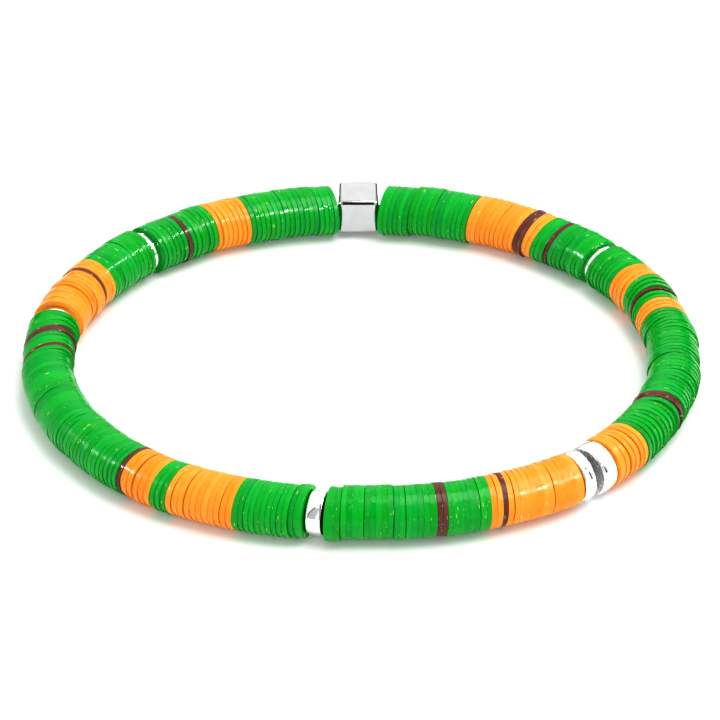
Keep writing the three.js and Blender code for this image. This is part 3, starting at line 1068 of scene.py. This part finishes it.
def build_cord():
    """The cord rides with each segment; a short length is drawn in place where the strand opens."""
    gaps = stretch_gaps()
    half = CORD_STRETCH_LENGTH / 2 / mean_radius
    for i, (turn, before, after) in enumerate(gaps):
        following = gaps[(i + 1) % len(gaps)][0]
        following += TURN if following < turn else 0
        steps = round((following - turn) * CORD_STEPS_PER_RADIAN)
        piece = cord_length(f"elastic_cord_{after}", turn + half, following - half, steps)
        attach(piece, after)
        name = f"elastic_cord_stretch_{i + 1}"
        piece = cord_length(name, turn - half, turn + half, CORD_STRETCH_STEPS)
        first, last = cord_point(turn - half), cord_point(turn + half)
        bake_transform(piece)


def build_knot(cube):
    """Wraps round the cord inside the cube bead."""
    mesh = bmesh.new()
    thick = CORD_DIAMETER * KNOT_SQUEEZE
    coil_radius = KNOT_DIAMETER / 2 - thick / 2
    points = []
    for i in range(KNOT_STEPS + 1):
        share = i / KNOT_STEPS
        angle = share * KNOT_WRAPS * TURN
        along = cube["along"] * ((share - 0.5) * (KNOT_LENGTH - thick * KNOT_ENDS))
        across = cube["outward"] * math.cos(angle) + cube["upward"] * math.sin(angle)
        points.append(Vector((cube["centre"] + along + across * coil_radius) * MM + middle))
    tube(mesh, [points[0], *points, points[-1]], thick / 2 * MM, KNOT_SIDES)
    piece = finish_mesh(mesh, "elastic_cord_knot", [MATERIALS["cord"]])
    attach(piece, body_of["cube_bead"])
    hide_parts("elastic_cord")


for run, (kind, *_) in enumerate(STRAND):
    if kind not in METAL:
        build_run(run, kind)
for bead in beads:
    if bead["kind"] == "cube":
        build_cube(bead["run"], bead)
    elif bead["kind"] in METAL:
        build_turned(bead["run"], bead)
build_cord()
build_knot(beads[0])


# Floor, light and camera
FLOOR_HALF = 3.0
FLOOR_GREY = 0.8
FLOOR_GLOW = 0.08
WORLD_STRENGTH = 0.8
CARD_DISTANCE = 0.3

# Lights: azimuth and elevation in degrees, distance, width and height in metres, brightness as
# seen, and whether only reflections show it
LIGHTS = {
    "top_softbox": (80, 72, 0.8, 0.5, 0.5, 5.0, False),
    "back_reflector": (180, 42, 0.8, 0.6, 0.6, 0.38, True),
    "left_strobe": (-86.6, 23, 0.6, 0.06, 0.06, 130.0, True),
    "right_strobe": (52.7, 41, 0.6, 0.06, 0.06, 130.0, True),
    "right_strip": (86, 39, 0.6, 0.56, 0.04, 40.0, True),
}

# Dark slots and grey stands of the light tent: azimuth, elevation, half width and half height in
# degrees, and shade
CARDS = {
    "tent_slot": (0, 38.5, 12, 38.5, 0.02),
    "left_gap": (-143, 7, 16, 9, 0.02),
    "right_gap": (143, 7, 16, 9, 0.02),
    "left_stand": (-30, 26, 6, 28, 0.45),
    "left_post": (-37, 26, 1, 28, 0.02),
    "right_stand": (70, 24, 3.5, 26, 0.1),
}

# The camera stands where the photograph was taken from: angles in radians, distances in
# millimetres, and the lens and the picture in pixels
CAMERA_ELEVATION = 0.6457718
CAMERA_DISTANCE = 458.49
LENS_PIXELS = 4028.4
IMAGE_PIXELS = 720
CENTRE_PIXEL = (361.0, 354.6)
SENSOR_WIDTH = 36


def add_quad(name, corners, material):
    """Flat rectangle for the floor or a card."""
    data = bpy.data.meshes.new(name)
    data.from_pydata(corners, [], [(0, 1, 2, 3)])
    return finish_piece(name, data, [material])


def add_floor():
    material, _, shader = new_material("pale_floor")
    shader.inputs["Base Color"].default_value = (FLOOR_GREY, FLOOR_GREY, FLOOR_GREY, 1)
    shader.inputs["Roughness"].default_value = 0.9
    shader.inputs["Specular IOR Level"].default_value = 0.1
    shader.inputs["Emission Color"].default_value = (1, 1, 1, 1)
    shader.inputs["Emission Strength"].default_value = FLOOR_GLOW
    half = FLOOR_HALF
    corners = [(-half, -half, 0), (half, -half, 0), (half, half, 0), (-half, half, 0)]
    add_quad("floor", corners, material)


def add_world():
    world = bpy.data.worlds.new("soft_white")
    bpy.context.scene.world = world
    world.use_nodes = True
    background = world.node_tree.nodes["Background"]
    background.inputs["Color"].default_value = (1, 1, 1, 1)
    background.inputs["Strength"].default_value = WORLD_STRENGTH


def toward(azimuth, elevation):
    """Direction by degrees: azimuth from the camera's side to the right, elevation over the floor."""
    a, e = math.radians(azimuth), math.radians(elevation)
    return Vector((math.sin(a) * math.cos(e), -math.cos(a) * math.cos(e), math.sin(e)))


def add_light(name, azimuth, elevation, distance, wide, high, brightness, only_reflected):
    """Soft light that faces the middle of the loop."""
    light = bpy.data.lights.new(name, "AREA")
    light.shape = "RECTANGLE"
    light.size = wide
    light.size_y = high
    light.energy = brightness * math.pi * wide * high
    lamp = bpy.data.objects.new(name, light)
    bpy.context.scene.collection.objects.link(lamp)
    away = toward(azimuth, elevation).normalized()
    lamp.location = away * distance
    lamp.rotation_euler = away.to_track_quat("Z", "Y").to_euler()
    lamp.visible_diffuse = not only_reflected


def add_card(name, azimuth, elevation, half_wide, half_high, shade):
    """Card of the light tent that only reflections show."""
    away = toward(azimuth, elevation)
    right = Vector((0, 0, 1)).cross(away).normalized()
    rise = away.cross(right)
    wide = CARD_DISTANCE * math.tan(math.radians(half_wide))
    high = CARD_DISTANCE * math.tan(math.radians(half_high))
    corners = []
    for x, y in ((-1, -1), (1, -1), (1, 1), (-1, 1)):
        corners.append(tuple(away * CARD_DISTANCE + right * (x * wide) + rise * (y * high)))
    material, _, shader = new_material(name)
    shader.inputs["Base Color"].default_value = (shade, shade, shade, 1)
    shader.inputs["Roughness"].default_value = 1.0
    card = add_quad(name, corners, material)
    card.visible_camera = False
    card.visible_diffuse = False
    card.visible_shadow = False
    card.visible_transmission = False


def add_camera():
    data = bpy.data.cameras.new("camera")
    camera = bpy.data.objects.new("camera", data)
    bpy.context.scene.collection.objects.link(camera)
    target = Vector(middle) + Vector((0, 0, disc_radius * MM))
    away = Vector((0, -math.cos(CAMERA_ELEVATION), math.sin(CAMERA_ELEVATION)))
    camera.location = target + away * CAMERA_DISTANCE * MM
    camera.rotation_euler = away.to_track_quat("Z", "Y").to_euler()
    data.sensor_width = SENSOR_WIDTH
    data.lens = LENS_PIXELS / IMAGE_PIXELS * data.sensor_width
    data.shift_x = (IMAGE_PIXELS / 2 - CENTRE_PIXEL[0]) / IMAGE_PIXELS
    data.shift_y = (CENTRE_PIXEL[1] - IMAGE_PIXELS / 2) / IMAGE_PIXELS
    data.clip_start = 0.01
    data.clip_end = 20
    bpy.context.scene.camera = camera


add_floor()
add_world()
for name, light in LIGHTS.items():
    add_light(name, *light)
for name, card in CARDS.items():
    add_card(name, *card)
add_camera()

# Contrast and brightness of the picture
view = bpy.context.scene.view_settings
view.view_transform = "Standard"
view.look = "High Contrast"
view.exposure = -0.1
